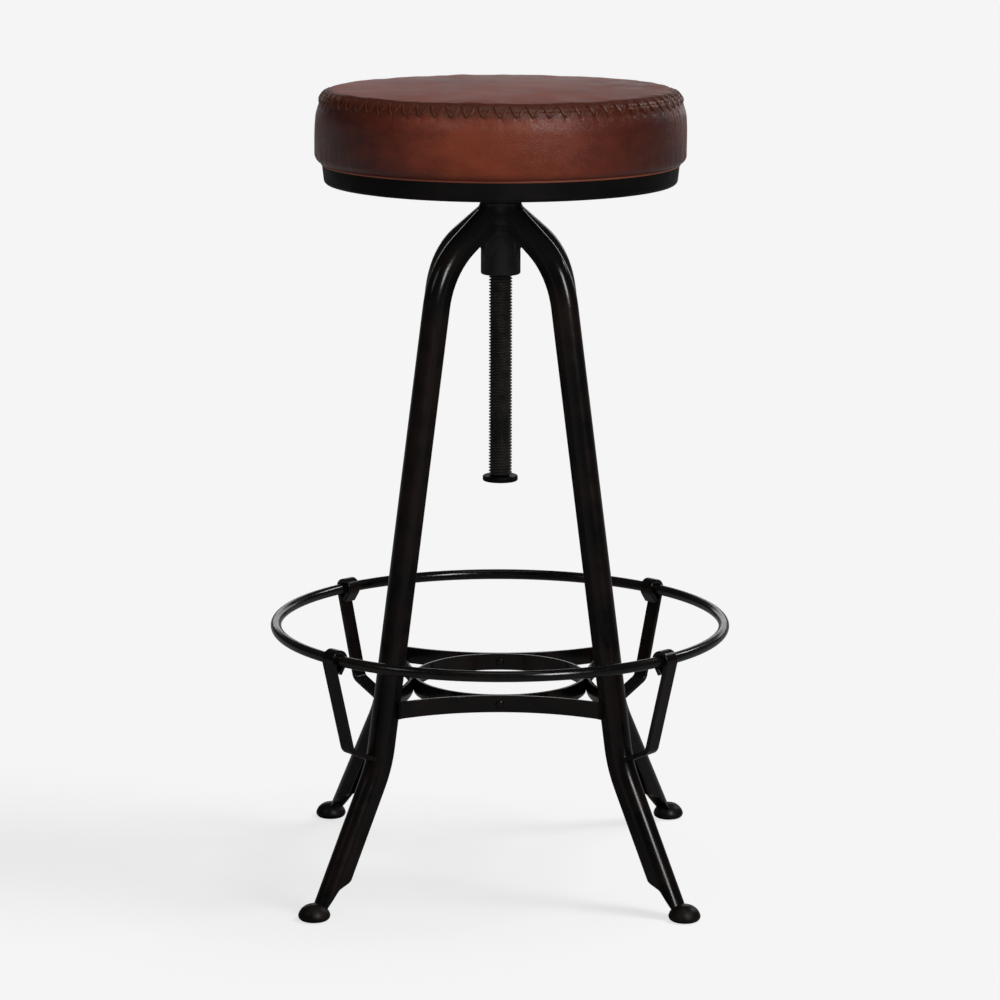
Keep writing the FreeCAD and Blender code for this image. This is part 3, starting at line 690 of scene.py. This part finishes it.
def swellPad(look, cushion):     # a plain pad, swelled as cloth and read back as a surface
    outline = CushionOutline(cushion, look["inset"])
    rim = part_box("seat_pan")[1].z
    bm = bmesh.new()
    geometry = wireOf(bm, thinned(outline.upper + outline.lower)[::look["every"]]
                      + [(outline.neck, outline.boardHigh.z), (0.0, outline.boardHigh.z)])
    bmesh.ops.spin(bm, geom=geometry, cent=(0, 0, 0), axis=(0, 0, 1), angle=fullTurn,
                   steps=look["steps"], use_merge=True)
    pad = finishPiece(bm, "pad_form", [], look["merge"])
    remesh = pad.modifiers.new("remesh", "REMESH")
    remesh.mode = "VOXEL"
    remesh.voxel_size = look["voxel"]
    applyModifiers(pad)
    seam = outline.across(0.0)
    held = pad.vertex_groups.new(name="held")
    for vert in pad.data.vertices:
        radius = math.hypot(vert.co.x, vert.co.y)
        if vert.co.z < rim + look["voxel"]:
            held.add([vert.index], 1.0, "REPLACE")
        elif math.dist((radius, vert.co.z), seam) < look["voxel"]:
            held.add([vert.index], look["seamHold"], "REPLACE")
        else:
            lump = noise.fractal(vert.co * look["lumpScale"], 1.0, 2.0, look["lumpOctaves"])
            vert.co += vert.normal * lump * look["lumps"]
    start = [vert.co.copy() for vert in pad.data.vertices]
    cloth = pad.modifiers.new("cloth", "CLOTH")
    cloth.settings.vertex_group_mass = "held"
    cloth.settings.use_pressure = True
    cloth.settings.uniform_pressure_force = look["pressure"]
    cloth.settings.effector_weights.gravity = 0.0
    cloth.settings.quality = look["quality"]
    cloth.point_cache.frame_start = 1
    cloth.point_cache.frame_end = look["frames"]
    for step in range(1, look["frames"] + 1):
        scene.frame_set(step)
    applyModifiers(pad)
    scene.frame_set(1)
    for vert, first in zip(pad.data.vertices, start):
        move = vert.co - first
        if move.length > look["cap"]:
            vert.co = first + move.normalized() * look["cap"]
    smooth = pad.modifiers.new("smooth", "SUBSURF")
    smooth.levels = smooth.render_levels = 1
    applyModifiers(pad)
    tree = surfaceOf([pad.data])
    bpy.data.objects.remove(pad)
    return tree


seamLook = {
    "groove": 0.8 * mm,
    "grooveWidth": 1.1 * mm,
    "dimple": 0.7 * mm,
    "dimpleWidth": 1.6 * mm,
    "pucker": 0.15 * mm,
    "puckerWidth": 2.2 * mm,
    "puckerReach": 3.5 * mm,
    "fold": 0.8 * mm,            # of the pull folds under the laces, where there are any
    "foldReach": 14.0 * mm,
    "foldCount": 34.0,
    "foldDrift": 12.0,           # of the folds on their way down, per metre
    "foldPatch": 2.2,
    "patchShift": 7,
    "patchGain": 3.0,
    "dent": 0.7 * mm,
    "dentScale": 9.0,            # per metre
}


def seamRelief(seam, cushion, turn, distance):       # depth of the worked leather, inwards
    beat = fullTurn / cushion["laces"]
    lift = seam["groove"] * bell(distance, seam["grooveWidth"])
    for row, shift in ((1, 0.0), (-1, 0.5)):
        place = ((turn / beat + shift + 0.5) % 1.0 - 0.5) * beat * cushion["seamRadius"]
        past = distance - row * cushion["laceReach"]
        lift += seam["dimple"] * bell(math.hypot(place, past), seam["dimpleWidth"])
        lift += (seam["pucker"] * bell(place, seam["puckerWidth"])
                 * bell(past, seam["puckerReach"]))
    below = distance - cushion["laceReach"]
    if below > 0.0:
        way = Vector((math.cos(turn), math.sin(turn), 0.0))
        drift = Vector((0, 0, distance * seam["foldDrift"]))
        fold = noise.noise(way * seam["foldCount"] + drift)
        patch = noise.noise(way * seam["foldPatch"] + Vector((seam["patchShift"], 0, 0)))
        patch = min(1.0, max(0.0, seam["patchGain"] * patch))
        lift += seam["fold"] * fold * patch * math.exp(-below / seam["foldReach"])
    return lift


def swellAt(tree, vert):         # how far the swelled pad lies outside the shell
    return (tree.find_nearest(vert.co)[0] - vert.co).dot(vert.normal)


def rowOf(span):                 # the ring of the shell at a distance from the seam
    return round(span / mm, 1)


def rowMeans(tree, bm, distance):            # the mean swell of each ring of the shell
    rows = {}
    for vert in bm.verts:
        rows.setdefault(rowOf(vert[distance]), []).append(vert)
    return {row: sum(swellAt(tree, vert) for vert in verts) / len(verts)
            for row, verts in rows.items()}


def buildCushion(look, pad, seam):
    outline = CushionOutline(look)
    bm, distance = startShell(look, outline)
    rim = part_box("seat_pan")[1].z
    tree = swellPad(pad, look)
    meanSwell = rowMeans(tree, bm, distance) if tree else {}
    moves = {}
    for vert in bm.verts:
        span = vert[distance]
        clear = min(1.0, (vert.co.z - rim) / look["reliefReach"])
        plain = span > 0.0 and vert.co.z <= outline.boardHigh.z + look["plainBelow"]
        if clear <= 0.0 or plain:
            continue
        lift = -seamRelief(seam, look, math.atan2(vert.co.y, vert.co.x), span)
        lift += seam["dent"] * noise.noise(vert.co * seam["dentScale"])
        lift += look["swell"] * eased(span / look["swellReach"])
        if tree:
            lift += swellAt(tree, vert) - meanSwell[rowOf(span)]
        moves[vert] = vert.normal * lift * clear
    for vert, move in moves.items():
        vert.co += move
    for face in bm.faces:
        middle = sum(vert[distance] for vert in face.verts) / len(face.verts)
        face.material_index = 1 if middle > 0.0 else 0
    shell = BVHTree.FromBMesh(bm)
    bm.verts.layers.float.remove(distance)
    piece = finishPiece(bm, "leather_cushion", [leathers["leather_top"], leathers["leather_side"]])
    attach(piece, "seat")
    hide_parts("cover_top", "cover_side", "cushion_foam")
    return outline, shell


cushionOutline, cushionShell = buildCushion(cushionLook, padLook, seamLook)
print("cushion swelled")


# Lower edge: the rolled edge of the leather, which sits on the rim of the pan, its pale colour
# partly painted light
edgeLook = {
    "radius": 165.3 * mm,
    "above": 0.45 * mm,          # its middle over the rim
    "thickness": 1.2 * mm,
    "sides": 10,
    "steps": 360,
}


def buildEdge(look):
    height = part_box("seat_pan")[1].z + look["above"]
    bm = bmesh.new()
    ring = bmesh.ops.create_circle(bm, segments=look["sides"], radius=look["thickness"])["verts"]
    bmesh.ops.rotate(bm, verts=ring, cent=(0, 0, 0), matrix=Matrix.Rotation(0.5 * math.pi, 3, "X"))
    bmesh.ops.translate(bm, verts=ring, vec=(look["radius"], 0, height))
    bmesh.ops.spin(bm, geom=bm.verts[:] + bm.edges[:], cent=(0, 0, 0), axis=(0, 0, 1),
                   angle=fullTurn, steps=look["steps"], use_merge=True)
    piece = finishPiece(bm, "cushion_edge", [leathers["leather_edge"]])
    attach(piece, "seat")


buildEdge(edgeLook)
print("lower edge rolled")


# Lace: one strip that zigzags over the seam from hole to hole
laceLook = {
    "width": 2.9 * mm,
    "thickness": 0.9 * mm,
    "stand": 0.55 * mm,          # of its face off the leather
    "dive": 1.3 * mm,            # into the holes at its ends
    "bend": 6,                   # the higher, the nearer to its ends it dives
    "along": 6,
}


def buildLace(look, cushion, outline, shell):
    beat = fullTurn / cushion["laces"]
    bm = bmesh.new()
    for index in range(2 * cushion["laces"]):
        first = beat * index / 2.0
        lean = 1.0 if index % 2 == 0 else -1.0
        made = bmesh.ops.create_grid(bm, x_segments=look["along"], y_segments=1, size=1.0)
        for vert in made["verts"]:
            u, v = vert.co.x, vert.co.y
            spot = outline.across(-lean * u * cushion["laceReach"])
            turn = (first + beat / 4.0 * (1.0 + u)
                    + v * look["width"] / 2.0 / cushion["seamRadius"])
            rough = Vector((spot[0] * math.cos(turn), spot[0] * math.sin(turn), spot[1]))
            hit, normal = shell.find_nearest(rough)[:2]
            rise = look["stand"] - (look["stand"] + look["dive"]) * abs(u) ** look["bend"]
            vert.co = hit + normal * rise
    piece = finishPiece(bm, "seam_lace", [leathers["leather_lace"]])
    thick = piece.modifiers.new("thickness", "SOLIDIFY")
    thick.thickness = look["thickness"]
    thick.offset = -1.0
    rounded = piece.modifiers.new("rounded", "SUBSURF")
    rounded.levels = rounded.render_levels = 1
    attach(piece, "seat")


buildLace(laceLook, cushionLook, cushionOutline, cushionShell)
print("seam laced")


# Studio: a pale floor and background, soft boxes, and two faint shadows to the left
studioLook = {
    "paper": 0.913,              # linear level of the background
    "ambient": 0.05,
    "floorSize": 60.0,
    "floorAlbedo": 0.28,         # of the part of the floor's light that can be shadowed
    "floorBounce": 0.35,
}
sunLights = {
    "sun_high": {"azimuth": 110.0, "height": 78.0, "spread": 25.0, "strength": 0.82},
    "sun_right": {"azimuth": 85.0, "height": 54.0, "spread": 20.0, "strength": 1.42},
}


def buildWorld(look):
    world = bpy.data.worlds.new("studio")
    world.use_nodes = True
    world.node_tree.nodes.clear()
    scene.world = world
    paint = Wire(world.node_tree)
    seen = paint.node("ShaderNodeLightPath", output="Is Camera Ray")
    level = spread(seen, look["ambient"], look["paper"])
    shader = paint.node("ShaderNodeBackground", None, {"Color": colour(1, 1, 1),
                                                       "Strength": level})
    paint.node("ShaderNodeOutputWorld", None, {"Surface": shader})


def buildFloor(look, suns):
    bm = bmesh.new()
    bmesh.ops.create_grid(bm, x_segments=1, y_segments=1, size=look["floorSize"] / 2.0)
    material, paint = startMaterial("pale_floor")
    seen = paint.node("ShaderNodeLightPath", output="Is Camera Ray")
    sunshine = sum(sun["strength"] * math.sin(math.radians(sun["height"]))
                   for sun in suns.values()) / math.pi
    glowing = look["paper"] - look["floorAlbedo"] * (sunshine + look["ambient"])
    lit = paint.node("ShaderNodeBsdfDiffuse", None, {"Color": colour(*[look["floorAlbedo"]] * 3)})
    glow = paint.node("ShaderNodeEmission", None, {"Color": colour(1, 1, 1),
                                                   "Strength": glowing})
    shown = paint.node("ShaderNodeAddShader", None, {0: lit, 1: glow})
    bounce = paint.node("ShaderNodeBsdfDiffuse", None,
                        {"Color": colour(*[look["floorBounce"]] * 3)})
    both = paint.node("ShaderNodeMixShader", None, {0: seen, 1: bounce, 2: shown})
    paint.node("ShaderNodeOutputMaterial", None, {"Surface": both})
    piece = finishPiece(bm, "floor", [material])
    return piece


buildWorld(studioLook)
floor = buildFloor(studioLook, sunLights)

# Azimuths are in degrees from the front towards the right, heights in degrees above the seat's
# level, distances from the seat in metres, and powers in watts
boxLights = {
    "key_right": {"azimuth": 30.0, "height": 27.0, "away": 2.8, "size": (0.42, 1.2),
                  "power": 28.0, "lights": "seat"},
    "key_frame": {"azimuth": 30.0, "height": 27.0, "away": 2.8, "size": (0.6, 1.3),
                  "power": 55.0, "lights": "frame"},
    "fill_left": {"azimuth": -33.0, "height": 30.0, "away": 2.8, "size": (0.4, 0.8),
                  "power": 7.0, "lights": "seat"},
    "fill_frame": {"azimuth": -58.0, "height": 32.0, "away": 2.8, "size": (0.5, 0.9),
                   "power": 4.0, "lights": "frame"},
    "hub_front": {"azimuth": 0.0, "height": -15.0, "away": 0.45, "size": (0.25, 0.1),
                  "power": 0.8, "lights": "frame", "mirrored": False},
    "overhead": {"azimuth": 0.0, "height": 88.0, "away": 2.2, "size": (0.9, 0.9),
                 "power": 4.0},
    "rim_right": {"azimuth": 125.0, "height": 30.0, "away": 2.8, "size": (0.4, 0.7),
                  "power": 13.0},
    "back_glow": {"azimuth": 172.0, "height": 6.5, "away": 4.0, "size": (5.0, 0.8),
                  "power": 17.0},
}
lightTarget = Vector((0.0, 0.0, 0.70))


def aimedLamp(light, look):
    lamp = bpy.data.objects.new(light.name, light)
    around, height = math.radians(look["azimuth"]), math.radians(look["height"])
    way = Vector((math.sin(around) * math.cos(height), -math.cos(around) * math.cos(height),
                  math.sin(height)))
    lamp.location = lightTarget + way * look.get("away", 0.0)
    lamp.rotation_euler = way.to_track_quat("Z", "Y").to_euler()
    scene.collection.objects.link(lamp)
    return lamp


def addBoxLight(name, look):
    light = bpy.data.lights.new(name, "AREA")
    light.shape = "RECTANGLE"
    light.size, light.size_y = look["size"]
    light.energy = look["power"]
    lamp = aimedLamp(light, look)
    lamp.visible_camera = False
    lamp.visible_glossy = look.get("mirrored", True)
    return lamp


def addSun(name, look):
    light = bpy.data.lights.new(name, "SUN")
    light.energy = look["strength"]
    light.angle = math.radians(look["spread"])
    return aimedLamp(light, look)


boxLamps = [addBoxLight(name, look) for name, look in boxLights.items()]
suns = [addSun(name, look) for name, look in sunLights.items()]

# The soft boxes light the stool alone, so that the floor stays even
pieces = [item for item in scene.objects if item.type == "MESH" and item != floor]
seatPieces = [item for item in pieces if item.name.startswith(("leather", "seam", "cushion"))]
receivers = {"all": pieces, "seat": seatPieces, "floor": [floor],
             "frame": [item for item in pieces if item not in seatPieces]}
lightSets = {}
for name, items in receivers.items():
    lightSets[name] = bpy.data.collections.new("lit_" + name)
    for item in items:
        lightSets[name].objects.link(item)
for lamp, look in zip(boxLamps, boxLights.values()):
    lamp.light_linking.receiver_collection = lightSets[look.get("lights", "all")]
for lamp in suns:
    lamp.light_linking.receiver_collection = lightSets["floor"]
scene.view_settings.view_transform = "Standard"
print("studio lit")
